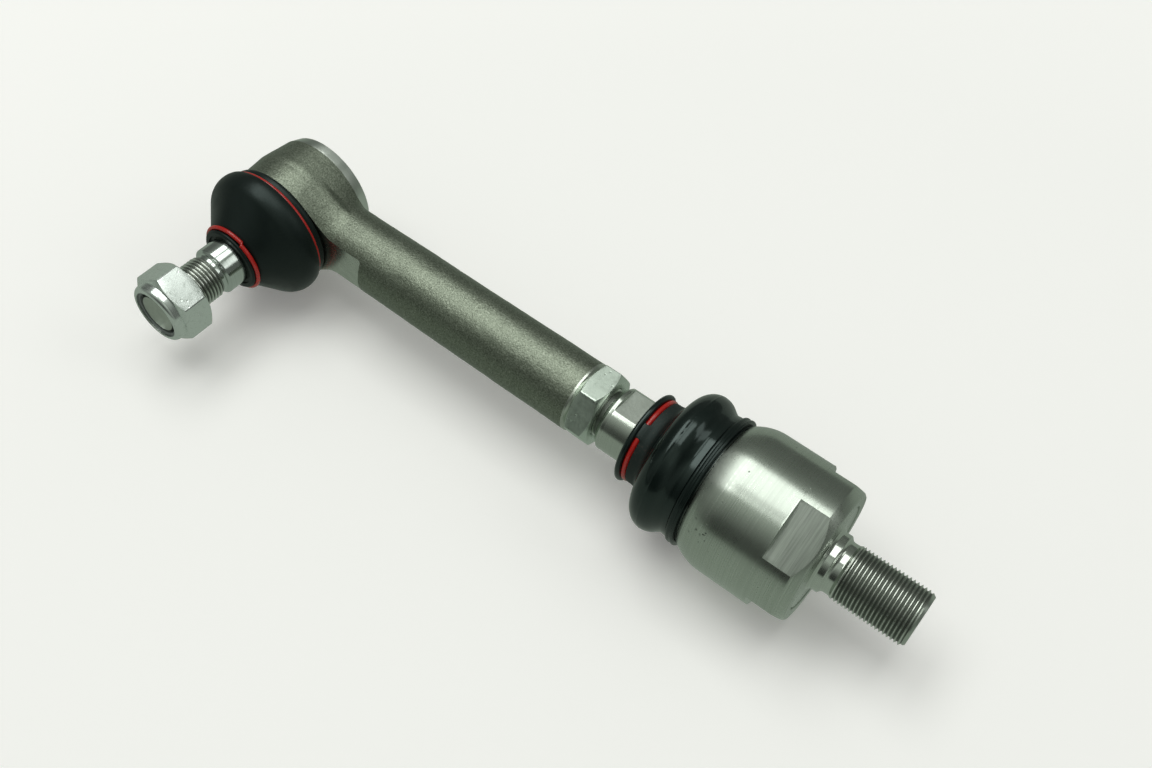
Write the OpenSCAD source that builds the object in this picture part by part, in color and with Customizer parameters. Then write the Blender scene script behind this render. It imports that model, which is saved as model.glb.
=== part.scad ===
// Tie rod for a driven steering axle, in millimetres.
// The rod lies along X, with the threaded end stud toward +X and the ball stud toward -Y.
// The origin is the centre of the axial housing's end face, where the end stud seats.

/* [Threaded end stud] */
// Thread diameter of the end stud
end_stud_d = 22; // [18:1:24]
// Length of the end stud past the housing face
end_stud_len = 37.8; // [30:0.2:50]
// Diameter of the plain collar at the stud's foot
end_collar_d = 23.4; // [20:0.1:27]
// Length of the plain collar
end_collar_len = 4.2; // [2:0.1:8]
// Length of the undercut between collar and thread
end_undercut_len = 4.6; // [2:0.1:8]
// Depth of every thread undercut below the thread diameter
undercut_depth = 0.75; // [0.3:0.05:1.2]
// Chamfer on every thread end
thread_chamfer = 1.3; // [0.5:0.1:2]

/* [Axial housing] */
// Outside diameter of the housing
housing_d = 58; // [54:0.5:64]
// Length from the end face to the start of the boot spigot
housing_len = 46; // [42:0.5:54]
// Axial length of the chamfer at the end face
housing_chamfer_len = 3.8; // [1:0.1:6]
// Radial depth of the chamfer at the end face
housing_chamfer_depth = 3.2; // [1:0.1:4]
// Radius of the rounded shoulder on the boot side
housing_shoulder_r = 20; // [16:0.5:26]
// Axial length of the rounded shoulder
housing_shoulder_len = 11.5; // [8:0.5:14]
// Distance across the wrench flats
housing_flats_af = 53; // [51:0.5:57]
// Length of the wrench flats from the end face
housing_flats_len = 13.5; // [8:0.5:18]
// Turn of the wrench flats about the rod axis
housing_flats_turn = 32; // [0:1:90]
// Length of the spigot that carries the boot
spigot_len = 7; // [5:0.5:9]
// Outside diameter of the spigot
spigot_d = 46.4; // [44:0.2:50]

/* [Axial ball joint] */
// Diameter of the bore that holds seats, spring and plug
inner_bore_d = 43.2; // [41:0.2:46]
// Ball diameter of the pin
inner_ball_d = 35; // [32:0.5:38]
// Distance of the ball centre behind the end face
inner_ball_back = 27; // [26:0.5:30]
// Greatest tilt of the pin
inner_tilt = 18; // [10:1:20]
// Diameter of the pin's neck
pin_neck_d = 19; // [16:0.5:20]
// Length of the front seat along the axis
inner_seat_len = 12; // [10:0.5:13]
// Thickness of the end plug's disc
plug_t = 8; // [7:0.5:9]

/* [Ball pin] */
// Diameter of the pin's shank
pin_shank_d = 26; // [24:0.5:30]
// Distance from the end face to the shank's shoulder
pin_shoulder_x = 93.2; // [91:0.2:100]
// Distance across the pin's wrench flats
pin_flats_af = 22; // [20:0.5:24]
// Turn of the pin's flats about the rod axis
pin_flats_turn = -8; // [-90:1:90]
// Width of the round band between flats and shoulder
pin_flats_margin = 3.9; // [2:0.1:6]
// Thread diameter of the pin
pin_thread_d = 20; // [18:1:22]
// Length of the pin's thread past the shoulder
pin_thread_len = 57; // [50:1:65]

/* [Lock nut] */
// Distance across the lock nut's flats
lock_nut_af = 28; // [27:0.5:32]
// Thickness of the lock nut
lock_nut_t = 9.8; // [8:0.5:12]
// Gap between the pin's shoulder and the lock nut
lock_nut_gap = 2.1; // [1.6:0.1:4]
// Turn of the lock nut about the rod axis
lock_nut_turn = 28.5; // [0:0.5:60]

/* [Forged rod] */
// Diameter of the rod at its threaded end
rod_end_d = 29.2; // [27:0.2:34]
// Diameter of the rod at the head
rod_head_d = 28.1; // [26:0.1:32]
// Distance from the end face to the ball stud's axis
rod_reach = 254.3; // [240:0.1:320]
// Depth of the threaded hole in the rod
rod_hole_depth = 66; // [60:1:75]
// Radius of the blend between rod and head
rod_blend_r = 4; // [2:0.5:9]

/* [Ball joint head] */
// Diameter of the forged head
head_d = 49.8; // [46:0.2:54]
// Height of the head on the side away from the stud
head_back = 17.3; // [17:0.1:20]
// Height of the faced flat on the stud's side
head_front = 11.1; // [10:0.1:12.5]
// Radius that the forged head's side loses from the parting plane to its back
head_draft = 1.15; // [0:0.05:1.5]
// Height of the machined chamfer at the back
head_rim_len = 4.8; // [2:0.1:6]
// Radial depth of the machined chamfer at the back
head_rim_depth = 1.5; // [1:0.1:3]
// Radius of the facing cut around the stud's axis
head_facing_r = 40; // [32:0.5:50]
// Diameter of the collar that carries the boot
collar_d = 43; // [41:0.5:46]
// Height of the collar past the faced flat
collar_len = 5.9; // [5:0.1:7]

/* [Stud ball joint] */
// Diameter of the bore that holds seats, spring and cap
outer_bore_d = 36; // [35:0.2:38]
// Ball diameter of the ball stud
outer_ball_d = 30; // [28:0.5:31]
// Distance of the ball centre from the rod axis toward the stud
outer_ball_front = 1.5; // [0.5:0.1:2]
// Greatest tilt of the ball stud
outer_tilt = 22; // [15:1:24]
// Thickness of the closing cap
cap_t = 1.6; // [1.2:0.1:2]
// Width of the rolled rim over the cap
cap_rim_w = 1.4; // [0.8:0.1:2]

/* [Ball stud] */
// Diameter of the stud's neck
stud_neck_d = 17.6; // [15:0.2:18]
// Diameter of the cylindrical journal
journal_d = 20; // [19:0.5:21]
// Distance from the rod axis to the journal's shoulder
journal_end = 48; // [46.5:0.1:52]
// Length of the undercut past the journal
stud_undercut_len = 2.2; // [1.5:0.1:4]
// Thread diameter of the ball stud
stud_thread_d = 18; // [16:1:20]
// Distance from the rod axis to the end of the ball stud
stud_end = 76; // [74:0.1:84]

/* [Stud nut] */
// Distance across the stud nut's flats
stud_nut_af = 27; // [26:0.5:32]
// Height of the hexagon
stud_nut_hex_h = 12.4; // [11:0.1:13.2]
// Full height of the stud nut with its collar
stud_nut_h = 16.1; // [15.5:0.1:18]
// Diameter of the rounded collar
stud_nut_collar_d = 25.2; // [24:0.1:26]
// Distance from the rod axis to the nut's seat face
stud_nut_seat = 61; // [54:0.1:64]
// Turn of the stud nut about its axis
stud_nut_turn = 32; // [0:1:60]

/* [Boots] */
// Wall thickness of the boots
boot_wall = 2.4; // [1.8:0.1:2.6]
// Largest diameter of the axial joint's boot
inner_boot_d = 57.2; // [55:0.1:60]
// Profile radius of the axial boot's convolution
inner_boot_bulge_r = 7.4; // [6.6:0.1:7.5]
// Distance from the housing spigot's root to the convolution
inner_boot_bulge_x = 14.8; // [14.6:0.1:16]
// Distance from the convolution to the small end's lip
inner_boot_tail = 18.4; // [18:0.1:21]
// Diameter of the lip at the axial boot's small end
inner_boot_lip_d = 37; // [35:0.2:38]
// Largest diameter of the stud's boot
outer_boot_d = 54.8; // [54:0.2:60]
// Profile radius of the stud boot's shoulder
outer_boot_shoulder_r = 8.6; // [8:0.1:10]
// Distance from the rod axis to the end of the stud's boot
outer_boot_end = 39.2; // [39:0.1:40.5]
// Wire diameter of the red rings
ring_wire_d = 2.2; // [1.8:0.1:2.4]

/* [Fits] */
// Radial running clearance between turning faces
fit = 0.05; // [0.03:0.01:0.09]
// Gap between flat faces that meet
face_gap = 0.05; // [0.03:0.01:0.1]
// Clearance of the opening cone round a tilted neck
cone_gap = 0.6; // [0.4:0.05:1]

/* [Hidden] */
$fn = 96;

// Long enough to cut through anything here
past = 200;
steel = [0.62, 0.64, 0.61];
forged = [0.45, 0.47, 0.43];
zinc = [0.78, 0.82, 0.79];
rubber = [0.06, 0.07, 0.07];
red = [0.75, 0.08, 0.06];
polymer = [0.85, 0.84, 0.78];

// Axial joint, measured along X from the end face
inner_ball_x = -inner_ball_back;
inner_ball_r = inner_ball_d / 2;
inner_bore_r = inner_bore_d / 2;
inner_seat_x = inner_ball_x - inner_seat_len;
spigot_x = -housing_len;
spigot_end_x = spigot_x - spigot_len;
spigot_r = spigot_d / 2;
// Groove in the spigot for the boot's bead
bead_groove_depth = 1;
bead_groove_lip = 1.4;
plug_sink = 0.3;
rear_seat_back_x = -plug_t - 5;
spring_t = 1.4;
spring_inset = 5.5;
spring_play = 0.8;

// Pin along X: its neck runs from the ball's centre and opens in a cone to the shank
pin_neck_len = 31;
pin_cone_len = 8;
pin_neck_end_x = inner_ball_x - pin_neck_len;
pin_shank_start_x = pin_neck_end_x - pin_cone_len;
pin_shoulder = -pin_shoulder_x;
pin_chamfer = 1.7;
pin_end_x = pin_shoulder - pin_thread_len;
boot_groove_depth = 0.6;

// Lock nut and rod along X
lock_nut_x = pin_shoulder - lock_nut_gap;
rod_end_x = lock_nut_x - lock_nut_t - face_gap;
rod_hole_x = rod_end_x - rod_hole_depth;
thread_bore_r = pin_thread_d / 2 + fit;
countersink = 1;
rod_chamfer = 1;

// Head along the stud's axis, positive toward the stud
outer_ball_r = outer_ball_d / 2;
outer_bore_r = outer_bore_d / 2;
outer_seat_front = outer_ball_front + 7.6;
rear_seat_back = outer_ball_front - 11.5;
cap_out = -head_back + 1.65;
cap_in = cap_out + cap_t;
head_r = head_d / 2;
collar_end = head_front + collar_len;
collar_r = collar_d / 2;
outer_spring_t = 1.2;
outer_spring_inset = 4;
// Closing cap's flat rim, the width of its slope and the depth of its dish
cap_flat_w = 4;
cap_slope_w = 1;
cap_dish = 0.8;

// Boots
inner_boot_x = spigot_x - inner_boot_bulge_x;
inner_boot_c = inner_boot_d / 2 - inner_boot_bulge_r;
inner_boot_end_x = inner_boot_x - inner_boot_tail;
pin_shank_r = pin_shank_d / 2;
small_collar_r = pin_shank_r + 4.1;
lip_round = 1.15;
wire_r = ring_wire_d / 2;
inner_ring_x = inner_boot_end_x + 3.25;
inner_ring_r = small_collar_r - 0.8;
// Groove in the pin's shank that the axial boot's small end sits in
boot_seat_front_x = inner_boot_x - inner_boot_bulge_r - 2.8;
boot_seat_back_x = inner_boot_end_x + 2;
bead_r = spigot_r + 1.8;
band_t = 1.7;
band_w = 3.6;
outer_boot_c = outer_boot_d / 2 - outer_boot_shoulder_r;
outer_boot_shoulder = head_front + 8.2;
stud_lip_r = journal_d / 2 + 3.1;
stud_ring_r = journal_d / 2 + 3.7;
outer_small_ring = outer_boot_end - 2.2;
stud_mouth_r = journal_d / 2 + 1.2;
journal_start = outer_boot_end + 0.1;
stud_seat_r = journal_d / 2 - 0.3;
// Heights at which the stud's neck starts and stops opening to the boot's seat
stud_cone_z = head_front + 11.9;
stud_seat_z = stud_cone_z + 6;
outer_large_ring = head_front + 4.5;
outer_bead_r = collar_r + 3.7;

// Stud nut's insert, the rim rolled over it and the opening that the rim leaves
insert_h = 3.6;
insert_r = stud_nut_collar_d / 2 - 1.3;
nut_rim_t = 0.9;
nut_mouth_r = stud_thread_d / 2 + 1.2;

// Turns a shape that stands on Z so that it points along X
module along_x() {
    rotate([0, 90, 0]) children();
}

// Turns a shape that stands on Z so that it points along the ball stud
module along_stud() {
    translate([-rod_reach, 0, 0]) rotate([90, 0, 0]) children();
}

// Rectangle in a revolved profile, from radius r0 to r1 and from height z0 to z1
module band(r0, r1, z0, z1) {
    translate([r0, z0]) square([r1 - r0, z1 - z0]);
}

// Cylinder from height z0 to z1, or a cone where the two radii differ
module barrel(z0, z1, r0, r1) {
    translate([0, 0, z0]) cylinder(h = z1 - z0, r1 = r0, r2 = r1);
}

// Space swept by a neck that tilts, plus its clearance, from the ball's centre to the given reach.
// side is 1 where the neck points up the axis and -1 where it points down.
module neck_sweep(centre, reach, neck_d, tilt, side) {
    foot_r = neck_d / 2 / cos(tilt) + cone_gap;
    top_r = foot_r + reach * tan(tilt);
    translate([0, 0, centre]) {
        if (side > 0) cylinder(h = reach, r1 = foot_r, r2 = top_r);
        else translate([0, 0, -reach]) cylinder(h = reach, r1 = top_r, r2 = foot_r);
    }
}

// Hexagon prism with both ends chamfered as a nut is
module hex_blank(af, z0, z1, chamfer) {
    corner_r = af / sqrt(3);
    round_r = af / 2 - 0.3;
    intersection() {
        translate([0, 0, z0]) cylinder(h = z1 - z0, r = corner_r, $fn = 6);
        rotate_extrude() polygon([[0, z0], [round_r, z0], [corner_r + 0.2, z0 + chamfer],
            [corner_r + 0.2, z1 - chamfer], [round_r, z1], [0, z1]]);
    }
}

module axial_housing() {
    r = housing_d / 2;
    shoulder_x = spigot_x + housing_shoulder_len;
    color(steel) difference() {
        along_x() rotate_extrude() difference() {
            union() {
                band(0, r - housing_chamfer_depth, shoulder_x, 0);
                polygon([[0, -housing_chamfer_len], [r, -housing_chamfer_len],
                    [r - housing_chamfer_depth, 0], [0, 0]]);
                band(0, r, shoulder_x, -housing_chamfer_len);
                intersection() {
                    translate([r - housing_shoulder_r, shoulder_x]) circle(r = housing_shoulder_r);
                    band(r - housing_shoulder_r, r, spigot_x, shoulder_x);
                }
                band(0, r - housing_shoulder_r, spigot_x, shoulder_x);
                band(0, spigot_r, spigot_end_x, spigot_x);
            }
            band(spigot_r - bead_groove_depth, r, spigot_end_x + bead_groove_lip, spigot_x - 0.4);
        }
        along_x() barrel(inner_seat_x, past, inner_bore_r, inner_bore_r);
        along_x() neck_sweep(inner_ball_x, past, pin_neck_d, inner_tilt, -1);
        // Relief that keeps the lip off the ball
        along_x() translate([0, 0, inner_ball_x]) sphere(r = inner_ball_r + fit);
        for (i = [0:3]) {
            rotate([housing_flats_turn + 90 * i, 0, 0])
                translate([-housing_flats_len, -r, housing_flats_af / 2]) cube([past, 2 * r, r]);
        }
    }
}

module threaded_end_plug() {
    thread_r = end_stud_d / 2;
    collar_r = end_collar_d / 2;
    disc_r = inner_bore_r - fit;
    undercut_r = thread_r - undercut_depth;
    thread_x = end_collar_len + end_undercut_len;
    color(steel) along_x() rotate_extrude() polygon([
        [0, -plug_t], [disc_r, -plug_t], [disc_r, -plug_sink - 0.6], [disc_r - 0.6, -plug_sink],
        [collar_r + 1.2, -plug_sink + 0.2], [collar_r, 1.4], [collar_r, end_collar_len - 0.6],
        [undercut_r, end_collar_len + 0.5], [undercut_r, thread_x - 0.7],
        [thread_r, thread_x], [thread_r, end_stud_len - thread_chamfer * 1.6],
        [thread_r - thread_chamfer, end_stud_len], [0, end_stud_len]]);
}

module inner_front_seat() {
    color(polymer) along_x() difference() {
        barrel(inner_seat_x + face_gap, inner_ball_x - 0.3, inner_bore_r - fit, inner_bore_r - fit);
        translate([0, 0, inner_ball_x]) sphere(r = inner_ball_r + fit);
        neck_sweep(inner_ball_x, past, pin_neck_d, inner_tilt, -1);
    }
}

module inner_rear_seat() {
    color(polymer) along_x() difference() {
        barrel(inner_ball_x + 0.3, rear_seat_back_x, inner_bore_r - fit, inner_bore_r - fit);
        translate([0, 0, inner_ball_x]) sphere(r = inner_ball_r + fit);
    }
}

// Coned disc that bears on the seat with its inner edge and on the plug with its outer edge
module disc_spring(hole_r, rim_r, seat_z, stop_z, t) {
    rotate_extrude() polygon([[hole_r, seat_z], [hole_r + t, seat_z],
        [rim_r, stop_z - sign(stop_z - seat_z) * t], [rim_r, stop_z], [rim_r - t, stop_z],
        [hole_r, seat_z + sign(stop_z - seat_z) * t]]);
}

module inner_disc_spring() {
    seat_z = rear_seat_back_x + face_gap;
    stop_z = -plug_t - face_gap;
    color(steel) along_x() disc_spring(inner_ball_r - spring_inset, inner_bore_r - spring_play,
        seat_z, stop_z, spring_t);
}

module inner_boot() {
    bulge_r = inner_boot_bulge_r;
    bead_in = spigot_r - bead_groove_depth + fit;
    bead_back_x = spigot_end_x + bead_groove_lip + 0.1;
    flank_x = inner_boot_x - bulge_r;
    collar_x = boot_seat_front_x - 1;
    lip_r = inner_boot_lip_d / 2;
    color(rubber) along_x() rotate_extrude() difference() {
        union() {
            // Convolution, open toward the rod
            intersection() {
                translate([inner_boot_c, inner_boot_x]) circle(r = bulge_r);
                band(inner_boot_c, inner_boot_d, inner_boot_x - bulge_r, inner_boot_x + bulge_r);
            }
            // Bead that sits in the housing's groove, and the waist from under the band to the convolution
            band(bead_in, bead_r, bead_back_x, spigot_x - 0.5);
            band(spigot_r + fit, bead_r - 0.3, inner_boot_x, bead_back_x + 1);
            band(spigot_r + fit, bead_r + 0.6, inner_boot_x, spigot_x - 1 - band_w - face_gap);
            // Flank down to the small end
            polygon([[inner_boot_c, flank_x], [inner_boot_c, flank_x + boot_wall],
                [small_collar_r - 1.6, collar_x + 2.6], [small_collar_r - 1.6, collar_x],
                [small_collar_r, collar_x]]);
            band(pin_shank_r - boot_groove_depth + fit, small_collar_r, boot_seat_back_x,
                boot_seat_front_x);
            // Rounded lip
            band(pin_shank_r + fit, lip_r - lip_round, inner_boot_end_x, inner_boot_end_x + 2 * lip_round);
            translate([lip_r - lip_round, inner_boot_end_x + lip_round]) circle(r = lip_round);
        }
        translate([inner_boot_c, inner_boot_x]) circle(r = bulge_r - boot_wall);
        translate([inner_ring_r, inner_ring_x]) circle(r = wire_r + fit);
    }
}

module inner_boot_band() {
    band_x = spigot_x - 1;
    color(rubber) along_x() rotate_extrude() {
        difference() {
            translate([bead_r + fit, band_x - band_w]) square([band_t, band_w]);
            translate([bead_r + fit + band_t, band_x - band_w / 2]) circle(r = 0.5);
        }
    }
}

module inner_boot_ring() {
    color(red) along_x() rotate_extrude() translate([inner_ring_r, inner_ring_x]) circle(r = wire_r);
}

module ball_pin() {
    neck_r = pin_neck_d / 2;
    thread_r = pin_thread_d / 2;
    undercut_r = thread_r - undercut_depth;
    groove_front_x = boot_seat_front_x + face_gap;
    groove_back_x = boot_seat_back_x - face_gap;
    flat_start_x = inner_boot_end_x + 0.9;
    flat_end_x = pin_shoulder + pin_flats_margin;
    color(steel) difference() {
        union() {
            along_x() translate([0, 0, inner_ball_x]) sphere(r = inner_ball_r);
            along_x() rotate_extrude() polygon([
                [0, inner_ball_x], [neck_r, inner_ball_x], [neck_r, pin_neck_end_x],
                [pin_shank_r, pin_shank_start_x], [pin_shank_r, groove_front_x],
                [pin_shank_r - boot_groove_depth, groove_front_x],
                [pin_shank_r - boot_groove_depth, groove_back_x],
                [pin_shank_r, groove_back_x], [pin_shank_r, pin_shoulder + pin_chamfer],
                [pin_shank_r - pin_chamfer, pin_shoulder], [undercut_r, pin_shoulder],
                [undercut_r, pin_shoulder - 1.2], [thread_r, pin_shoulder - 1.8],
                [thread_r, pin_end_x + thread_chamfer], [thread_r - thread_chamfer, pin_end_x],
                [0, pin_end_x]]);
        }
        for (side = [0, 180]) {
            rotate([pin_flats_turn + side, 0, 0])
                translate([flat_end_x, -pin_shank_r, pin_flats_af / 2])
                    cube([flat_start_x - flat_end_x, pin_shank_d, pin_shank_r]);
        }
    }
}

module lock_nut() {
    color(zinc) rotate([lock_nut_turn, 0, 0]) along_x() difference() {
        hex_blank(lock_nut_af, lock_nut_x - lock_nut_t, lock_nut_x, 1.5);
        barrel(-past, 0, thread_bore_r, thread_bore_r);
        barrel(lock_nut_x - countersink, lock_nut_x, thread_bore_r, thread_bore_r + countersink);
        barrel(lock_nut_x - lock_nut_t, lock_nut_x - lock_nut_t + countersink,
            thread_bore_r + countersink, thread_bore_r);
    }
}

// Round rod, with the blend that spreads it onto the head
module rod_blank() {
    end_r = rod_end_d / 2;
    neck_r = rod_head_d / 2;
    // Centre of the arc that is tangent to the rod and to the head, and the radius where it meets it
    arc_r = neck_r + rod_blend_r;
    arc_x = -rod_reach + sqrt(pow(head_r + rod_blend_r, 2) - pow(arc_r, 2));
    meet_r = arc_r * head_r / (head_r + rod_blend_r);
    along_x() rotate_extrude() difference() {
        polygon([[0, -rod_reach], [meet_r, -rod_reach], [meet_r, arc_x], [neck_r, arc_x],
            [end_r, rod_end_x - rod_chamfer], [end_r - rod_chamfer, rod_end_x], [0, rod_end_x]]);
        intersection() {
            translate([arc_r, arc_x]) circle(r = rod_blend_r);
            translate([0, -rod_reach]) square([end_r * 2, arc_x + rod_reach]);
        }
    }
}

module tie_rod_body() {
    side_r = head_r - head_draft;
    rim_z = -head_back + head_rim_len;
    color(forged) difference() {
        union() {
            rod_blank();
            along_stud() rotate_extrude() polygon([[0, -head_back], [side_r - head_rim_depth, -head_back],
                [side_r, rim_z], [head_r, 0], [side_r, head_front], [collar_r, head_front],
                [collar_r, collar_end - 0.8], [collar_r - 0.8, collar_end], [0, collar_end]]);
        }
        // Facing cut round the collar, and the groove for the boot's bead
        along_stud() rotate_extrude() {
            band(collar_r, head_facing_r, head_front, past);
            band(collar_r - bead_groove_depth, head_facing_r, head_front + 0.4, collar_end - 1.6);
        }
        // Threaded hole from the end, with its drill point
        along_x() barrel(rod_hole_x, 0, thread_bore_r, thread_bore_r);
        along_x() barrel(rod_hole_x - thread_bore_r * 0.6, rod_hole_x, 0, thread_bore_r);
        along_x() barrel(rod_end_x - countersink, rod_end_x, thread_bore_r, thread_bore_r + countersink);
        // Bore from the back, with the rolled rim left over the cap
        along_stud() barrel(cap_out - face_gap, outer_seat_front, outer_bore_r, outer_bore_r);
        along_stud() barrel(-past, 0, outer_bore_r - cap_rim_w, outer_bore_r - cap_rim_w);
        along_stud() neck_sweep(outer_ball_front, past, stud_neck_d, outer_tilt, 1);
        // Relief that keeps the lip off the ball
        along_stud() translate([0, 0, outer_ball_front]) sphere(r = outer_ball_r + fit);
    }
}

module outer_front_seat() {
    color(polymer) along_stud() difference() {
        barrel(outer_ball_front + 0.3, outer_seat_front - face_gap, outer_bore_r - fit, outer_bore_r - fit);
        translate([0, 0, outer_ball_front]) sphere(r = outer_ball_r + fit);
        neck_sweep(outer_ball_front, past, stud_neck_d, outer_tilt, 1);
    }
}

module outer_rear_seat() {
    color(polymer) along_stud() difference() {
        barrel(rear_seat_back, outer_ball_front - 0.3, outer_bore_r - fit, outer_bore_r - fit);
        translate([0, 0, outer_ball_front]) sphere(r = outer_ball_r + fit);
    }
}

module outer_disc_spring() {
    seat_z = rear_seat_back - face_gap;
    stop_z = cap_in + face_gap;
    color(steel) along_stud()
        disc_spring(outer_ball_r - outer_spring_inset, outer_bore_r - spring_play, seat_z, stop_z,
            outer_spring_t);
}

module closing_cap() {
    cap_r = outer_bore_r - fit;
    color(zinc) along_stud() rotate_extrude() polygon([[0, cap_in], [cap_r, cap_in], [cap_r, cap_out],
        [cap_r - cap_flat_w, cap_out], [cap_r - cap_flat_w - cap_slope_w, cap_out + cap_dish],
        [0, cap_out + cap_dish]]);
}

// Filled profile of the stud boot: a shoulder of radius rho from foot_z up, and the 45 degree cone
// tangent to it
module dome(rho, foot_z) {
    diag = rho * sqrt(0.5);
    axis_r = stud_seat_r + fit;
    intersection() {
        translate([outer_boot_c, outer_boot_shoulder]) circle(r = rho);
        band(outer_boot_c, outer_boot_d, foot_z, past);
    }
    polygon([[axis_r, foot_z], [outer_boot_c, foot_z], [outer_boot_c + diag, outer_boot_shoulder + diag],
        [axis_r, outer_boot_shoulder + outer_boot_c + 2 * diag - axis_r]]);
}

module outer_boot() {
    foot_z = head_front + 5;
    floor_z = head_front + 6.3;
    bead_end = collar_end - 1.7;
    bore_r = collar_r + 0.3;
    // Height at which the cone's inside meets the small end
    neck_z = outer_boot_shoulder + outer_boot_c + outer_boot_shoulder_r * sqrt(2) - stud_lip_r
        - boot_wall * 1.2;
    color(rubber) along_stud() rotate_extrude() difference() {
        union() {
            difference() {
                dome(outer_boot_shoulder_r, foot_z);
                dome(outer_boot_shoulder_r - boot_wall, floor_z);
                band(0, bore_r, -past, floor_z + 0.1);
            }
            // Bead in the groove of the head's collar, and the web that carries the shoulder
            band(collar_r - bead_groove_depth + fit, outer_bead_r, head_front + 0.5, bead_end);
            band(bore_r, outer_boot_c + outer_boot_shoulder_r - boot_wall, bead_end - 1.4, foot_z + 0.5);
            // Small end with its lip
            band(stud_seat_r + fit, stud_lip_r, neck_z, outer_boot_end);
        }
        translate([outer_bead_r, outer_large_ring]) circle(r = wire_r + fit);
        translate([stud_ring_r, outer_small_ring]) circle(r = wire_r + fit);
        // Open mouth round the journal
        band(0, stud_mouth_r, outer_boot_end - 0.8, past);
    }
}

module outer_boot_large_ring() {
    color(red) along_stud() rotate_extrude() translate([outer_bead_r, outer_large_ring]) circle(r = wire_r);
}

module outer_boot_small_ring() {
    color(red) along_stud() rotate_extrude() translate([stud_ring_r, outer_small_ring]) circle(r = wire_r);
}

module ball_stud() {
    neck_r = stud_neck_d / 2;
    journal_r = journal_d / 2;
    thread_r = stud_thread_d / 2;
    undercut_r = thread_r - undercut_depth;
    thread_z = journal_end + stud_undercut_len;
    color(steel) along_stud() {
        translate([0, 0, outer_ball_front]) sphere(r = outer_ball_r);
        rotate_extrude() polygon([[0, outer_ball_front], [neck_r, outer_ball_front], [neck_r, stud_cone_z],
            [stud_seat_r, stud_seat_z], [stud_seat_r, journal_start - 0.3], [journal_r, journal_start],
            [journal_r, journal_end - 0.5], [journal_r - 0.5, journal_end],
            [undercut_r, journal_end + 0.2], [undercut_r, thread_z - 0.6], [thread_r, thread_z],
            [thread_r, stud_end - thread_chamfer], [thread_r - thread_chamfer, stud_end], [0, stud_end]]);
    }
}

module stud_nut() {
    bore_r = stud_thread_d / 2 + fit;
    collar_r = stud_nut_collar_d / 2;
    hex_top = stud_nut_seat + stud_nut_hex_h;
    top = stud_nut_seat + stud_nut_h;
    round_r = 2.2;
    color(zinc) along_stud() rotate([0, 0, stud_nut_turn]) difference() {
        union() {
            hex_blank(stud_nut_af, stud_nut_seat, hex_top, 1.6);
            rotate_extrude() {
                band(0, collar_r, hex_top - 1, top - round_r);
                band(0, collar_r - round_r, hex_top - 1, top);
                translate([collar_r - round_r, top - round_r]) circle(r = round_r);
            }
        }
        barrel(0, past, bore_r, bore_r);
        barrel(stud_nut_seat, stud_nut_seat + countersink, bore_r + countersink, bore_r);
        // Pocket for the plastic insert, below the rolled rim
        barrel(top - nut_rim_t - insert_h, top - nut_rim_t, insert_r, insert_r);
        barrel(top - nut_rim_t - 0.2, past, nut_mouth_r, nut_mouth_r);
    }
}

module nut_insert() {
    top = stud_nut_seat + stud_nut_h - nut_rim_t;
    color(polymer) along_stud() difference() {
        barrel(top - insert_h + face_gap, top - face_gap, insert_r - fit, insert_r - fit);
        barrel(0, past, stud_thread_d / 2 + fit, stud_thread_d / 2 + fit);
    }
}

axial_housing();
threaded_end_plug();
inner_front_seat();
inner_rear_seat();
inner_disc_spring();
inner_boot();
inner_boot_band();
inner_boot_ring();
ball_pin();
lock_nut();
tie_rod_body();
outer_front_seat();
outer_rear_seat();
outer_disc_spring();
closing_cap();
outer_boot();
outer_boot_large_ring();
outer_boot_small_ring();
ball_stud();
stud_nut();
nut_insert();
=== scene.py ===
import math

import bmesh
import bpy
import numpy as np
from mathutils import Matrix, Vector, noise


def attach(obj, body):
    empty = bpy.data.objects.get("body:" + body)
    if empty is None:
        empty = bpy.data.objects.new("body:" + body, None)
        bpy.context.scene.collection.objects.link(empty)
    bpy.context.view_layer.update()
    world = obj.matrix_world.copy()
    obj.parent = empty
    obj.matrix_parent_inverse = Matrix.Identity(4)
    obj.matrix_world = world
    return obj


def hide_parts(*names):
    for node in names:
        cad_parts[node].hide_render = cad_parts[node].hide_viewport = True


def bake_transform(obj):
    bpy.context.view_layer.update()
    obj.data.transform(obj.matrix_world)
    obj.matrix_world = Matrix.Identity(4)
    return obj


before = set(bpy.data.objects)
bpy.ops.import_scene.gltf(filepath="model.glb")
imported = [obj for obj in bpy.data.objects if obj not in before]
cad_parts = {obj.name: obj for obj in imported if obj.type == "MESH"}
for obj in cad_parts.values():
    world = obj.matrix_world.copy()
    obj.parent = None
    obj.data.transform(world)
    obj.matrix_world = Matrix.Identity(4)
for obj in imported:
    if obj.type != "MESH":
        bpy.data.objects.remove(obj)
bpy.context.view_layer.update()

MM = 0.001
TAU = 2 * math.pi
# From the housing's end face, which is at the origin, to the axis of the ball stud, in millimetres
REACH = 254.3


# Places of revolved pieces: s along the axis, r from it, a round it, all in millimetres and radians

def on_rod(s, r, a):
    """Along X, with the angle from +Z toward -Y."""
    return np.stack([s + 0 * a, -r * np.sin(a), r * np.cos(a)], -1) * MM


def on_stud(s, r, a):
    """Along the ball stud, toward -Y, with the angle from +X toward +Z."""
    return np.stack([-REACH + r * np.cos(a), -s + 0 * a, r * np.sin(a)], -1) * MM


def even(n):
    """n angles evenly round the axis."""
    return np.arange(n) * TAU / n


def from_nearest(angle, first, count):
    """Signed angle from the nearest of count even places round the axis, one of them at first."""
    return (angle - first + TAU / count / 2) % (TAU / count) - TAU / count / 2


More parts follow.
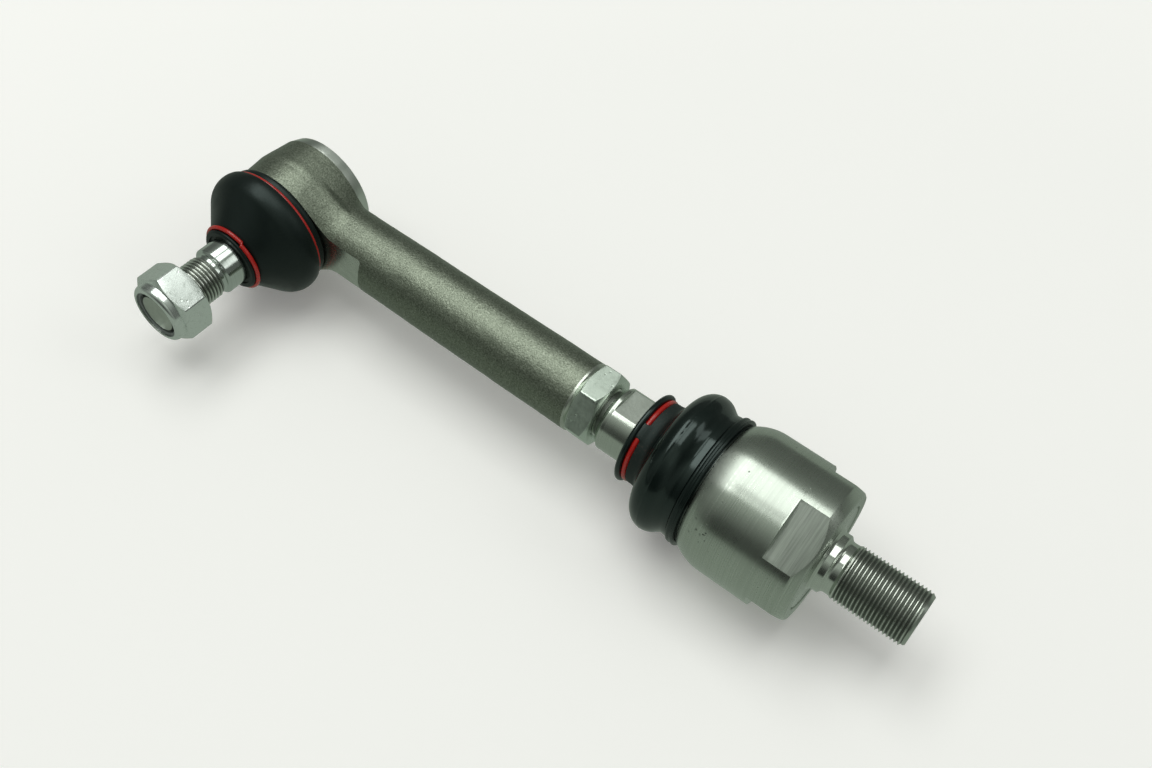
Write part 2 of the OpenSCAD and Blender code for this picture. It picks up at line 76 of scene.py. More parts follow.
def rounded(points, closed=False, steps=5):
    """Corner points (s, r) or (s, r, radius) as an outline with corners rounded by that radius."""
    out = []
    count = len(points)
    for i, point in enumerate(points):
        here = np.array(point[:2], float)
        if len(point) == 2 or (not closed and i in (0, count - 1)):
            out.append(tuple(here))
            continue
        back = np.array(points[i - 1][:2], float) - here
        on = np.array(points[(i + 1) % count][:2], float) - here
        lb, lo = np.linalg.norm(back), np.linalg.norm(on)
        u, v = back / lb, on / lo
        half = math.acos(max(-1, min(1, float(u @ v)))) / 2
        if half > math.pi / 2 - 0.02:
            out.append(tuple(here))
            continue
        cut = min(point[2] / math.tan(half), 0.49 * lb, 0.49 * lo)
        radius = cut * math.tan(half)
        middle = here + (u + v) / np.linalg.norm(u + v) * radius / math.sin(half)
        first, last = here + u * cut - middle, here + v * cut - middle
        a0 = math.atan2(first[1], first[0])
        turn = (math.atan2(last[1], last[0]) - a0 + math.pi) % TAU - math.pi
        for k in range(steps + 1):
            a = a0 + turn * k / steps
            out.append((middle[0] + radius * math.cos(a), middle[1] + radius * math.sin(a)))
    return out


def arc(s, r, radius, a0, a1, steps=16):
    """Points of an arc in a profile; the angle is from the axis direction toward the outside."""
    turns = [math.radians(a0 + (a1 - a0) * k / steps) for k in range(steps + 1)]
    return [(s + radius * math.cos(a), r + radius * math.sin(a)) for a in turns]


def skin(bm, rows, place, angles, loop=False):
    """Adds a revolved skin to bm. Each row is (s, r), numbers or arrays over the angles."""
    n = len(angles)
    grid = []
    for s, r in rows:
        s, r = np.broadcast_to(s, n).astype(float), np.broadcast_to(r, n).astype(float)
        if r.max() < 1e-6:
            grid.append([bm.verts.new(place(s[0], 0.0, angles[0]))] * n)
        else:
            grid.append([bm.verts.new(p) for p in place(s, r, angles)])
    pairs = list(zip(grid, grid[1:] + grid[:1])) if loop else list(zip(grid, grid[1:]))
    for low, high in pairs:
        for j in range(n):
            k = (j + 1) % n
            corners = []
            for v in (low[j], low[k], high[k], high[j]):
                if v not in corners:
                    corners.append(v)
            if len(corners) > 2:
                bm.faces.new(corners)


# One pitch of a 60 degree thread: place in the pitch and share of the depth
THREAD = [(0.0, 0.0), (0.055, 0.0), (0.38, 0.94), (0.44, 1.0), (0.56, 1.0), (0.62, 0.94),
          (0.945, 0.0)]
PITCH = 1.5
THREAD_DEPTH = 0.9
# Length over which the thread rises to its full height, and the chamfer at its other end
RUN_IN = 0.9
CHAMFER, CHAMFER_SLOPE = 1.3, 0.75


def thread(bm, place, s0, s1, radius, n=120):
    """A closed threaded bar from s0 to s1 whose rows of points follow the helix."""
    root = radius - THREAD_DEPTH
    turns = int(math.ceil((s1 - s0) / PITCH)) + 2
    per = len(THREAD)
    rows = [(k + u, g) for k in range(turns) for u, g in THREAD]
    angles = even(n)
    grid = []
    for u, g in rows:
        free = s0 + (u - 1 + np.arange(n) / n) * PITCH
        s = np.clip(free, s0, s1)
        r = radius - THREAD_DEPTH * g
        r = root + (r - root) * np.clip((free - s0) / RUN_IN, 0, 1)
        r = np.minimum(r, radius - CHAMFER + (s1 - s) * CHAMFER_SLOPE)
        grid.append([bm.verts.new(p) for p in place(s, r, angles)])
    made = [v for row in grid for v in row]
    for i in range(len(rows) - 1):
        for j in range(n - 1):
            bm.faces.new((grid[i][j], grid[i][j + 1], grid[i + 1][j + 1], grid[i + 1][j]))
        if i + 1 + per < len(rows):
            bm.faces.new((grid[i][-1], grid[i + per][0], grid[i + per + 1][0], grid[i + 1][-1]))
    bmesh.ops.remove_doubles(bm, verts=made, dist=2e-6)
    loose = [e for e in bm.edges if len(e.link_faces) == 1]
    bmesh.ops.holes_fill(bm, edges=loose, sides=0)


def finish_mesh(bm, name, sharp=30):
    """The mesh object made of bm, smooth apart from edges above sharp degrees."""
    bmesh.ops.recalc_face_normals(bm, faces=bm.faces[:])
    mesh = bpy.data.meshes.new(name)
    bm.to_mesh(mesh)
    bm.free()
    mesh.shade_smooth()
    mesh.set_sharp_from_angle(angle=math.radians(sharp))
    piece = bpy.data.objects.new(name, mesh)
    bpy.context.scene.collection.objects.link(piece)
    return piece


def dress(piece, materials, body, stands_for):
    """Gives a piece its materials and what it rides on, and hides the CAD node it stands for."""
    for material in materials if isinstance(materials, list) else [materials]:
        piece.data.materials.append(material)
    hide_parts(stands_for)
    if body:
        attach(piece, body)


# Materials

class Paint:
    """A procedural material, built on object coordinates in metres."""

    def __init__(self, name):
        self.material = bpy.data.materials.new(name)
        self.material.use_nodes = True
        self.tree = self.material.node_tree
        self.shader = self.tree.nodes["Principled BSDF"]
        self.coords = self.tree.nodes.new("ShaderNodeTexCoord").outputs["Object"]

    def link(self, value, socket):
        if isinstance(value, bpy.types.NodeSocket):
            self.tree.links.new(value, socket)
        elif value is not None:
            socket.default_value = value

    def set(self, **values):
        for key, value in values.items():
            self.link(value, self.shader.inputs[key.replace("_", " ")])

    def stretch(self, scale):
        node = self.tree.nodes.new("ShaderNodeMapping")
        self.link(self.coords, node.inputs["Vector"])
        node.inputs["Scale"].default_value = scale
        return node.outputs["Vector"]

    def noise(self, scale, detail=3.0, rough=0.55, warp=0.0):
        """Noise whose features are 1/scale metres; scale may differ by axis."""
        node = self.tree.nodes.new("ShaderNodeTexNoise")
        vector = self.coords
        if isinstance(scale, tuple):
            vector, scale = self.stretch(scale), 1.0
        self.link(vector, node.inputs["Vector"])
        node.inputs["Scale"].default_value = scale
        node.inputs["Detail"].default_value = detail
        node.inputs["Roughness"].default_value = rough
        node.inputs["Distortion"].default_value = warp
        return node.outputs["Fac"]

    def cells(self, scale):
        node = self.tree.nodes.new("ShaderNodeTexVoronoi")
        self.link(self.coords, node.inputs["Vector"])
        node.inputs["Scale"].default_value = scale
        return node.outputs["Distance"]

    def ramp(self, value, *stops):
        """Maps value through (position, colour or grey) stops."""
        node = self.tree.nodes.new("ShaderNodeValToRGB")
        self.link(value, node.inputs["Fac"])
        points = node.color_ramp.elements
        while len(points) < len(stops):
            points.new(0.5)
        for point, (position, colour) in zip(points, stops):
            point.position = position
            grey = isinstance(colour, (int, float))
            point.color = ((colour,) * 3 if grey else tuple(colour)) + (1,)
        return node.outputs["Color"]

    def math(self, operation, a, b=0.0):
        node = self.tree.nodes.new("ShaderNodeMath")
        node.operation = operation
        self.link(a, node.inputs[0])
        self.link(b, node.inputs[1])
        return node.outputs["Value"]

    def vector_math(self, operation, a, b=None):
        node = self.tree.nodes.new("ShaderNodeVectorMath")
        node.operation = operation
        self.link(a, node.inputs[0])
        self.link(b, node.inputs[1])
        return node.outputs["Value" if operation in ("LENGTH", "DISTANCE") else "Vector"]

    def axis(self, letter):
        node = self.tree.nodes.new("ShaderNodeSeparateXYZ")
        self.link(self.coords, node.inputs["Vector"])
        return node.outputs[letter]

    def mix(self, share, a, b):
        """From a to b by share; each is a colour or a socket."""
        node = self.tree.nodes.new("ShaderNodeMix")
        node.data_type = "RGBA"
        self.link(share, node.inputs["Factor"])
        for value, socket in ((a, node.inputs[6]), (b, node.inputs[7])):
            self.link(value + (1,) if isinstance(value, tuple) else value, socket)
        return node.outputs[2]

    def bump(self, height, depth, strength=1.0, under=None):
        node = self.tree.nodes.new("ShaderNodeBump")
        node.inputs["Strength"].default_value = strength
        node.inputs["Distance"].default_value = depth
        self.link(height, node.inputs["Height"])
        if under is not None:
            self.link(under, node.inputs["Normal"])
        return node.outputs["Normal"]


def turned(name, lines, light, dark, rough, line_depth=2.0e-6, pits=None, spread=0.8,
           contrast=0.35, root=None):
    """Machined steel. lines is the scale by axis of the cutting marks, across which spread draws
    out the highlights; pits is where pits cluster; root is the place and radius of a thread whose
    grooves get painted shade."""
    p = Paint(name)
    marks = p.noise(lines, 4, 0.7)
    broad = p.noise(38.0, 3, 0.6)
    fine = p.noise(900.0, 3, 0.6)
    colour = p.mix(broad, dark, light)
    scored = p.ramp(marks, (0.35, 0.0), (0.75, contrast))
    colour = p.mix(scored, colour, tuple(c * 0.6 for c in dark))
    grain = p.math("MULTIPLY", p.math("ADD", marks, fine), 0.5)
    value = p.ramp(p.math("ADD", p.math("MULTIPLY", grain, 0.6), p.math("MULTIPLY", broad, 0.4)),
                   (0.3, max(0.02, rough - 0.09)), (0.7, rough + 0.09))
    normal = p.bump(marks, line_depth)
    normal = p.bump(fine, line_depth * 0.5, 1.0, normal)
    if root:
        place, radius = root
        depth = THREAD_DEPTH * MM
        spoke = p.vector_math("SUBTRACT", p.coords, place)
        spoke = p.vector_math("MULTIPLY", spoke, [float(v != max(lines)) for v in lines])
        height = p.math("SUBTRACT", p.vector_math("LENGTH", spoke), radius - depth)
        height = p.math("DIVIDE", height, depth)
        # Painted shade: the thread's grooves are darkened toward their roots, and their gloss is
        # dulled there
        root_shade = p.ramp(height, (0.0, 0.85), (0.35, 0.50), (0.75, 0.0))
        colour = p.mix(root_shade, colour, (0.06, 0.07, 0.055))
        value = p.mix(root_shade, value, (0.5, 0.5, 0.5))
    if pits:
        near = p.vector_math("DISTANCE", p.coords, pits)
        hole = p.ramp(p.cells(560.0), (0.20, 1.0), (0.34, 0.0))
        few = p.ramp(p.cells(300.0), (0.05, 1.0), (0.10, 0.0))
        place = p.math("MULTIPLY", p.ramp(near, (0.0025, 1.0), (0.0065, 0.0)),
                       p.ramp(p.noise(400.0, 2), (0.50, 0.0), (0.58, 1.0)))
        few = p.math("MULTIPLY", few, p.ramp(p.noise(60.0, 2), (0.57, 0.0), (0.62, 1.0)))
        hole = p.math("MAXIMUM", p.math("MULTIPLY", hole, place), few)
        colour = p.mix(p.math("MULTIPLY", hole, 0.85), colour, (0.03, 0.035, 0.03))
        normal = p.bump(p.math("MULTIPLY", hole, -1.0), 1.2e-4, 1.0, normal)
    across = p.tree.nodes.new("ShaderNodeVectorTransform")
    across.vector_type, across.convert_from, across.convert_to = "VECTOR", "OBJECT", "WORLD"
    across.inputs["Vector"].default_value = [float(v == max(lines)) for v in lines]
    p.set(Base_Color=colour, Metallic=1.0, Roughness=value, Normal=normal,
          Tangent=across.outputs["Vector"])
    p.shader.inputs["Anisotropic"].default_value = spread
    return p.material


def forged(name):
    """Shot blasted forging."""
    p = Paint(name)
    grain = p.noise(1650.0, 2, 0.6)
    coarse = p.noise(480.0, 3, 0.6)
    broad = p.noise(30.0, 4, 0.6)
    colour = p.mix(broad, (0.205, 0.23, 0.178), (0.265, 0.295, 0.235))
    colour = p.mix(p.ramp(grain, (0.36, 0.6), (0.52, 0.0)), colour, (0.10, 0.11, 0.085))
    colour = p.mix(p.ramp(grain, (0.56, 0.0), (0.70, 0.4)), colour, (0.52, 0.55, 0.46))
    value = p.ramp(p.math("ADD", p.math("MULTIPLY", grain, 0.4), p.math("MULTIPLY", broad, 0.6)),
                   (0.3, 0.37), (0.7, 0.48))
    normal = p.bump(coarse, 1.0e-4)
    normal = p.bump(grain, 1.0e-4, 1.0, normal)
    p.set(Base_Color=colour, Metallic=0.95, Roughness=value, Normal=normal)
    return p.material


def plated(name, light, dark, rough, stain=0.4):
    """Zinc plated nut, with the blotches and small dents of handling."""
    p = Paint(name)
    broad = p.noise(70.0, 4, 0.6, 0.5)
    fine = p.noise(700.0, 4, 0.65)
    colour = p.mix(broad, dark, light)
    colour = p.mix(p.ramp(fine, (0.55, 0.0), (0.72, stain)), colour, tuple(c * 0.6 for c in dark))
    dent = p.math("MULTIPLY", p.ramp(p.cells(420.0), (0.10, 1.0), (0.24, 0.0)),
                  p.ramp(p.noise(130.0, 2), (0.52, 0.0), (0.62, 1.0)))
    value = p.ramp(p.math("ADD", p.math("MULTIPLY", fine, 0.5), p.math("MULTIPLY", broad, 0.5)),
                   (0.35, rough - 0.08), (0.68, rough + 0.12))
    normal = p.bump(fine, 6e-6)
    normal = p.bump(p.math("MULTIPLY", dent, -1.0), 6e-5, 1.0, normal)
    p.set(Base_Color=colour, Metallic=1.0, Roughness=value, Normal=normal)
    return p.material


RUBBER_BLACK = (0.002, 0.0042, 0.0036)


def rubber(name, rough, grain_depth, shine, dull=None):
    """Moulded black rubber with a slightly green sheen, dust and scuffs. dull is where a matt strip
    round it starts and ends, as minus ten times X in metres."""
    p = Paint(name)
    broad = p.noise(60.0, 4, 0.6, 0.6)
    fine = p.noise(1400.0, 4, 0.7)
    scuff = p.noise((160.0, 900.0, 900.0), 4, 0.7, 0.4)
    dust = p.math("MULTIPLY", p.ramp(scuff, (0.62, 0.0), (0.78, 1.0)),
                  p.ramp(broad, (0.5, 0.0), (0.7, 1.0)))
    colour = p.mix(broad, RUBBER_BLACK, tuple(c * 1.7 for c in RUBBER_BLACK))
    colour = p.mix(p.math("MULTIPLY", dust, 0.10), colour, (0.13, 0.135, 0.13))
    value = p.ramp(p.math("ADD", p.math("MULTIPLY", broad, 0.7), p.math("MULTIPLY", fine, 0.3)),
                   (0.35, rough - 0.08), (0.65, rough + 0.12))
    normal = p.bump(broad, 2.0e-4, 0.5)
    normal = p.bump(fine, grain_depth, 1.0, normal)
    if dull:
        along = p.math("MULTIPLY", p.axis("X"), -10.0)
        (a, b), span = dull, 0.012
        matt = p.ramp(along, (a - span, 0.0), (a + span, 1.0), (b - span, 1.0), (b + span, 0.0))
        value = p.mix(matt, value, (0.62, 0.62, 0.62))
        specks = p.math("MULTIPLY", p.ramp(p.noise(1500.0, 2), (0.60, 0.0), (0.68, 1.0)), matt)
        colour = p.mix(p.math("MULTIPLY", specks, 0.5), colour, (0.055, 0.03, 0.024))
        normal = p.bump(p.math("MULTIPLY", fine, matt), 6e-5, 1.0, normal)
    p.set(Base_Color=colour, Roughness=value, Normal=normal)
    p.shader.inputs["Specular IOR Level"].default_value = shine
    p.shader.inputs["Specular Tint"].default_value = (0.82, 1.0, 0.96, 1)
    return p.material


def plastic(name, light, dark, rough, coat=0.0):
    """Moulded or painted plastic."""
    p = Paint(name)
    broad = p.noise(90.0, 3, 0.6)
    fine = p.noise(1500.0, 3, 0.6)
    value = p.ramp(p.math("ADD", p.math("MULTIPLY", broad, 0.5), p.math("MULTIPLY", fine, 0.5)),
                   (0.35, rough - 0.07), (0.65, rough + 0.1))
    p.set(Base_Color=p.mix(broad, dark, light), Roughness=value, Normal=p.bump(fine, 8e-6))
    p.shader.inputs["Coat Weight"].default_value = coat
    return p.material


# Scales by axis of marks cut round the rod's axis and round the stud's
ROD_LINES = (2600.0, 18.0, 18.0)
STUD_LINES = (18.0, 2600.0, 18.0)
THREAD_STEEL = dict(light=(0.84, 0.87, 0.81), dark=(0.68, 0.71, 0.66), line_depth=1e-6, spread=0.0)
housing_steel = turned("housing_steel", ROD_LINES, (0.60, 0.645, 0.585), (0.50, 0.54, 0.48), 0.29,
                       pits=(-0.0375, -0.02605, 0.0103))
milled_steel = turned("milled_steel", (1300.0, 30.0, 30.0), (0.52, 0.55, 0.505), (0.34, 0.37, 0.33),
                      0.34, 3e-5, spread=0.3, contrast=0.95)
hammered_steel = turned("hammered_steel", (400.0, 250.0, 250.0), (0.74, 0.78, 0.72),
                        (0.52, 0.56, 0.50), 0.50, 1.2e-4, spread=0.0)
end_thread_steel = turned("end_thread_steel", ROD_LINES, rough=0.24, root=((0, 0, 0), 0.011),
                          **THREAD_STEEL)
pin_thread_steel = turned("pin_thread_steel", ROD_LINES, rough=0.24, root=((0, 0, 0), 0.010),
                          **THREAD_STEEL)
stud_thread_steel = turned("stud_thread_steel", STUD_LINES, rough=0.22,
                           root=((-0.2543, 0, 0), 0.009), **THREAD_STEEL)
pin_steel = turned("pin_steel", ROD_LINES, (0.66, 0.70, 0.64), (0.54, 0.58, 0.52), 0.24)
polished_rod = turned("polished_rod", ROD_LINES, (0.68, 0.72, 0.66), (0.58, 0.615, 0.56), 0.15,
                      1e-6, spread=0.5)
polished_stud = turned("polished_stud", STUD_LINES, (0.70, 0.75, 0.71), (0.60, 0.65, 0.61), 0.15,
                       1e-6, spread=0.7)
rim_steel = turned("rim_steel", STUD_LINES, (0.80, 0.84, 0.78), (0.66, 0.70, 0.64), 0.34)
faced_steel = turned("faced_steel", (260.0, 2000.0, 260.0), (0.62, 0.655, 0.585),
                     (0.50, 0.53, 0.47), 0.30, 2e-6, spread=0.0)
forged_steel = forged("forged_steel_grain")
nut_zinc = plated("nut_zinc", (0.90, 0.94, 0.91), (0.80, 0.85, 0.815), 0.20)
lock_zinc = plated("lock_zinc", (0.74, 0.82, 0.74), (0.62, 0.70, 0.62), 0.32, 0.15)
cap_zinc = plated("cap_zinc", (0.62, 0.66, 0.61), (0.50, 0.54, 0.49), 0.34)
boot_rubber = rubber("boot_rubber", 0.40, 4e-6, shine=0.4)
glossy_rubber = rubber("glossy_rubber", 0.15, 2e-6, dull=(0.70, 0.769), shine=0.6)
band_rubber = rubber("band_black", 0.24, 2e-6, shine=0.45)
red_wire = plastic("red_wire", (0.46, 0.013, 0.009), (0.36, 0.009, 0.006), 0.24, 0.2)
seat_plastic = plastic("seat_plastic", (0.80, 0.78, 0.70), (0.70, 0.68, 0.60), 0.5)
insert_plastic = plastic("insert_plastic", (0.15, 0.17, 0.155), (0.10, 0.12, 0.11), 0.45)


# Axial housing: revolved, with four milled flats

# Flats: distance from the axis, where each ends along X, and the angle of the first
FLAT = 26.5
FLAT_ENDS = (-15.0, -14.0, -14.0, -14.6)
FLATS_TURN = math.radians(32)
HOUSING_R = 29.0
# Burrs along the flats stop here, inside the CAD's box
BURR_LIMIT = 28.98

crease = math.acos(FLAT / HOUSING_R)
angles = set(np.round(even(288), 6))
for i in range(4):
    for side in (-1, 1):
        angles.add(round((FLATS_TURN + i * TAU / 4 + side * crease) % TAU, 6))
angles = np.array(sorted(angles))
off = from_nearest(angles, FLATS_TURN, 4)
flat_r = np.minimum(HOUSING_R, FLAT / np.cos(off))
in_flat = flat_r < HOUSING_R - 1e-4
burr = np.array([max(0.0, noise.noise((math.cos(a) * 9, math.sin(a) * 9, 4.0))) for a in angles])
burr = np.where(in_flat, 0.10 + 0.35 * burr, 0.0) * np.where(np.abs(off) > crease * 0.86, 1.3, 0.6)
boxed = np.maximum(np.abs(np.cos(angles)), np.maximum(-np.sin(angles), 0.1))
rim = np.minimum(HOUSING_R + burr, BURR_LIMIT / boxed)
which = ((angles - FLATS_TURN + TAU / 8) % TAU / (TAU / 4)).astype(int) % 4
flat_end = np.array(FLAT_ENDS)[which]
cham_x = -(flat_r - 25.8) * 3.8 / 3.2

rows = [(-0.2, 21.65), (0.0, 21.85), (0.0, 25.6), (-0.06, 25.75), (-0.16, 25.88)]
rows += [(cham_x + 0.12, flat_r - 0.10), (cham_x, flat_r - 0.02), (cham_x - 0.14, flat_r)]
rows += [(-6.0 + 0 * flat_r, flat_r), (-10.0, flat_r), (flat_end + 0.1, flat_r)]
rows += [(flat_end, flat_r + 0.04 * in_flat), (flat_end, flat_r + (HOUSING_R - flat_r) * 0.6)]
rows += [(flat_end - 0.02, rim - 0.02), (flat_end - 0.3, np.minimum(HOUSING_R + 0.1 * burr, rim))]
rows += [(flat_end - 0.9, HOUSING_R), (-20.0, HOUSING_R), (-27.0, HOUSING_R), (-34.0, HOUSING_R)]
rows += arc(-34.5, 9.0, 20.0, 90, 124.5, 20)
rows += [(-46.0, 24.9), (-46.05, 23.2), (-46.4, 23.2), (-46.4, 22.2), (-51.6, 22.2), (-51.6, 23.1),
         (-51.8, 23.2), (-52.8, 23.2), (-53.0, 23.0), (-53.0, 19.0), (-39.0, 14.2), (-39.0, 21.6),
         (-0.9, 21.6)]
bm = bmesh.new()
skin(bm, rows, on_rod, angles, loop=True)
housing = finish_mesh(bm, "axial_housing_turned", 20)
dress(housing, [housing_steel, milled_steel], "housing", "axial_housing")
# The milled flats
for face in housing.data.polygons:
    c = face.center / MM
    a = math.atan2(-c.y, c.z)
    r = math.hypot(c.y, c.z)
    depth = r * math.cos(from_nearest(a, FLATS_TURN, 4))
    if -14.9 < c.x < -0.5 and abs(depth - FLAT) < 0.02 and r < HOUSING_R - 0.01:
        face.material_index = 1

# End plug with its threaded stud
bm = bmesh.new()
plug = rounded([(-8, 0), (-8, 21.5, 0.3), (-1.1, 21.5, 0.1), (-0.3, 20.8, 0.1), (-0.12, 14.0),
                (0.1, 12.9, 0.6), (1.2, 11.7, 0.5), (3.7, 11.7, 0.45), (4.9, 10.25, 1.6),
                (7.6, 10.25, 1.6), (8.7, 10.9, 0.3), (9.2, 10.4), (9.2, 0)], steps=7)
skin(bm, plug, on_rod, even(160))
thread(bm, on_rod, 8.3, 37.8, 11.0, n=160)
end_plug = finish_mesh(bm, "end_stud_threaded", 28)
dress(end_plug, [polished_rod, end_thread_steel, housing_steel], "housing",
      "threaded_end_plug")
# Where the thread and its end face start along X, and the radius outside which the plug is faced
THREAD_X, END_FACE_X, FACED_R = 8.25, 36.5, 13.0
for face in end_plug.data.polygons:
    x, r = face.center.x / MM, math.hypot(face.center.y, face.center.z) / MM
    if x > THREAD_X:
        face.material_index = 1 if x < END_FACE_X else 2
    elif r > FACED_R:
        face.material_index = 2

# Boot of the axial joint, with its clamping band and ring. Three bridges of rubber cover the ring;
# these are the angle of the first and half their width
BRIDGE_AT, BRIDGE_W = math.radians(28), math.radians(12)


def inner_boot():
    outer = [(-46.55, 24.9), (-50.6, 25.0), (-50.75, 25.55), (-52.4, 25.45), (-53.3, 25.3),
             (-54.2, 25.5)]
    outer += arc(-60.8, 21.2, 7.4, 50, 91.5, 12) + [(-61.15, 28.67), (-61.3, 28.6)]
    outer += arc(-60.8, 21.2, 7.4, 95, 180, 20)[1:]
    outer += [(-68.6, 20.0), (-69.4, 18.9), (-70.4, 17.9), (-71.4, 17.3), (-72.6, 17.1),
              (-73.8, 17.05)]
    outer += [(-74.7, 17.05), (-74.9, 16.6), (-75.0, 15.9), (-75.4, 15.35), (-75.95, 15.2),
              (-76.5, 15.35), (-76.9, 15.9), (-76.95, 16.8)]
    outer += arc(-78.05, 17.35, 1.15, 10, 180, 12)
    outer += [(-79.2, 14.0), (-79.1, 13.06), (-77.2, 13.05), (-77.15, 12.47), (-71.05, 12.47),
              (-71.0, 13.1), (-71.4, 15.2)]
    outer += [(-66.4, 20.0)] + arc(-60.8, 21.2, 5.0, 190, 60, 14)
    outer += [(-57.0, 23.4), (-51.5, 23.25), (-51.45, 22.3), (-46.55, 22.3)]
    bm = bmesh.new()
    ang = even(256)
    rows = []
    for s, r in outer:
        wave = np.zeros(len(ang))
        # Slight unevenness outside the collar
        if r > 19 and s < -55:
            wave = np.array([noise.noise((math.cos(a) * 1.7, math.sin(a) * 1.7, s * 0.12))
                             for a in ang])
            wave = 0.10 * wave - 0.1
        # Moulding line round the convolution
        if 28.66 < r < 28.68:
            wave += np.array([0.05 * noise.noise((math.cos(a) * 12, math.sin(a) * 12, 2.0))
                              for a in ang])
        rr = r + wave
        # Bridges over the ring's groove
        if -76.97 < s < -74.65 and 14.5 < r < 17.06:
            gap = np.abs(from_nearest(ang, BRIDGE_AT, 3))
            over = 1 / (1 + np.exp((gap - BRIDGE_W) / math.radians(0.6)))
            rr = rr + (17.5 - r) * over
        rows.append((s, rr))
    skin(bm, rows, on_rod, ang, loop=True)
    return finish_mesh(bm, "inner_boot_rubber", 40)


boot = inner_boot()
dress(boot, glossy_rubber, None, "inner_boot")
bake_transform(boot)

bm = bmesh.new()
band = rounded([(-47.0, 25.05, 0.2), (-47.0, 26.7, 0.45), (-47.9, 26.75, 0.3),
                (-48.3, 26.35, 0.25), (-49.0, 26.35, 0.25), (-49.3, 26.65, 0.25),
                (-50.3, 26.5, 0.8), (-50.6, 25.05, 0.2)], True, 4)
skin(bm, band, on_rod, even(256), loop=True)
band = finish_mesh(bm, "boot_band_black", 40)
dress(band, band_rubber, "inner_boot", "inner_boot_band")


def wire(name, place, s, r, radius, body, node, step=None):
    """Sprung wire ring; step is the angle where its two ends overlap."""
    ang = even(300)
    shift = np.zeros(len(ang))
    if step is not None:
        d = from_nearest(ang, step, 1)
        shift = -0.42 * np.tanh(d / 0.012) * np.exp(-np.abs(d) / 0.9)
    rows = [(s + radius * math.cos(t) + shift, r + radius * math.sin(t)) for t in -even(20)]
    bm = bmesh.new()
    skin(bm, rows, place, ang, loop=True)
    ring = finish_mesh(bm, name, 60)
    dress(ring, red_wire, body, node)


wire("axial_ring_wire", on_rod, -75.95, 16.3, 1.1, "inner_collar", "inner_boot_ring")
wire("stud_ring_large", on_stud, 15.6, 25.2, 0.95, "outer_boot", "outer_boot_large_ring")
wire("stud_ring_small", on_stud, 37.0, 13.8, 0.85, "outer_collar", "outer_boot_small_ring",
     math.radians(61))

# Ball pin: ball, neck, shank with two flats, thread
SHANK_R, PIN_FLAT, PIN_TURN = 13.0, 11.0, math.radians(-8)
# Round edge of the shank where it meets the flats
EDGE_R = 12.98
ang = even(288)
off = from_nearest(ang, PIN_TURN, 2)
pin_r = np.minimum(SHANK_R, PIN_FLAT / np.maximum(np.cos(off), 0.01))

bm = bmesh.new()
rows = [(-9.5, 0.0)] + arc(-27.0, 0.0, 17.5, 4, 146, 40)
rows += [(-44.0, 9.5), (-58.0, 9.5), (-66.0, 12.95), (-66.2, SHANK_R), (-71.0, SHANK_R),
         (-71.05, 12.4), (-77.1, 12.4), (-77.15, SHANK_R), (-78.1, SHANK_R), (-78.28, EDGE_R)]
rows += [(-78.3, np.minimum(EDGE_R, pin_r + 0.02))]
rows += [(s, pin_r) for s in (-78.5, -82, -86, -89.5)]
rows += [(-89.85, np.minimum(EDGE_R, pin_r + 0.12)), (-90.02, np.minimum(EDGE_R, pin_r + 0.45)),
         (-90.12, 12.97)]
rows += rounded([(-90.2, SHANK_R), (-91.5, SHANK_R, 0.4), (-93.2, 11.3, 0.25), (-93.2, 9.25, 0.3),
                 (-95.4, 9.25), (-95.4, 0)])
skin(bm, rows, on_rod, ang)
thread(bm, lambda s, r, a: on_rod(-s, r, -a), 94.3, 150.2, 10.0)
pin = finish_mesh(bm, "ball_pin_turned", 22)
dress(pin, [pin_steel, hammered_steel, pin_thread_steel], "ball_pin", "ball_pin")
# The thread, and the two flats
for face in pin.data.polygons:
    c = face.center / MM
    a = math.atan2(-c.y, c.z)
    r = math.hypot(c.y, c.z)
    depth = r * math.cos(from_nearest(a, PIN_TURN, 2))
    if c.x < -93.3:
        face.material_index = 2
    elif -90.1 < c.x < -78.3 and depth < 12.9 and r < 12.96:
        face.material_index = 1


# Nuts

def hexagon(af, turn, bevel=0.9, n=14):
    """Angles and radii of a hexagon whose upright edges are narrowly flattened."""
    edge = math.radians(bevel)
    base = np.concatenate([[-edge, 0.0], np.linspace(edge, TAU / 6 - edge, n)[:-1]])
    ang = np.concatenate([base + i * TAU / 6 for i in range(6)]) + turn
    off = np.abs(from_nearest(ang, turn, 6))
    off = np.minimum(np.maximum(off, edge), TAU / 12)
    return ang, af / 2 / np.cos(TAU / 12 - off)


def crown(hex_r, face_s, face_r, length, reach):
    """Rows from the edge of a nut's face, over its chamfer cone, to the flats."""
    slope = length / reach
    s = face_s - (hex_r - face_r) * slope
    way = math.copysign(1.0, length)
    return [(face_s, face_r - 0.1), (face_s - 0.06 * way, face_r + 0.02),
            (s + 0.1 * way, hex_r - 0.08), (s, hex_r - 0.02), (s - 0.12 * way, hex_r)]


ang, hex_r = hexagon(27.0, math.radians(32))
bm = bmesh.new()
low = crown(hex_r, 61.0, 13.2, -1.6, 2.6)
high = crown(hex_r, 73.4, 13.2, 1.6, 2.6)
rows = [(72.0, 9.05), (62.0, 9.05), (61.0, 10.05), (61.0, 12.0)] + low
rows += [(65.0, hex_r), (69.0, hex_r)] + high[::-1]
rows += [(73.4, 12.95), (73.5, 12.7), (73.8, 12.6)]
rows += arc(74.9, 10.4, 2.2, 90, 0, 10)[1:]
rows += [(77.1, 10.45), (76.92, 10.22), (76.25, 10.2), (76.2, 11.3), (72.6, 11.3), (72.5, 9.1)]
skin(bm, rows, on_stud, ang, loop=True)
nut = finish_mesh(bm, "stud_nut_plated", 24)
dress(nut, nut_zinc, "stud_nut", "stud_nut")

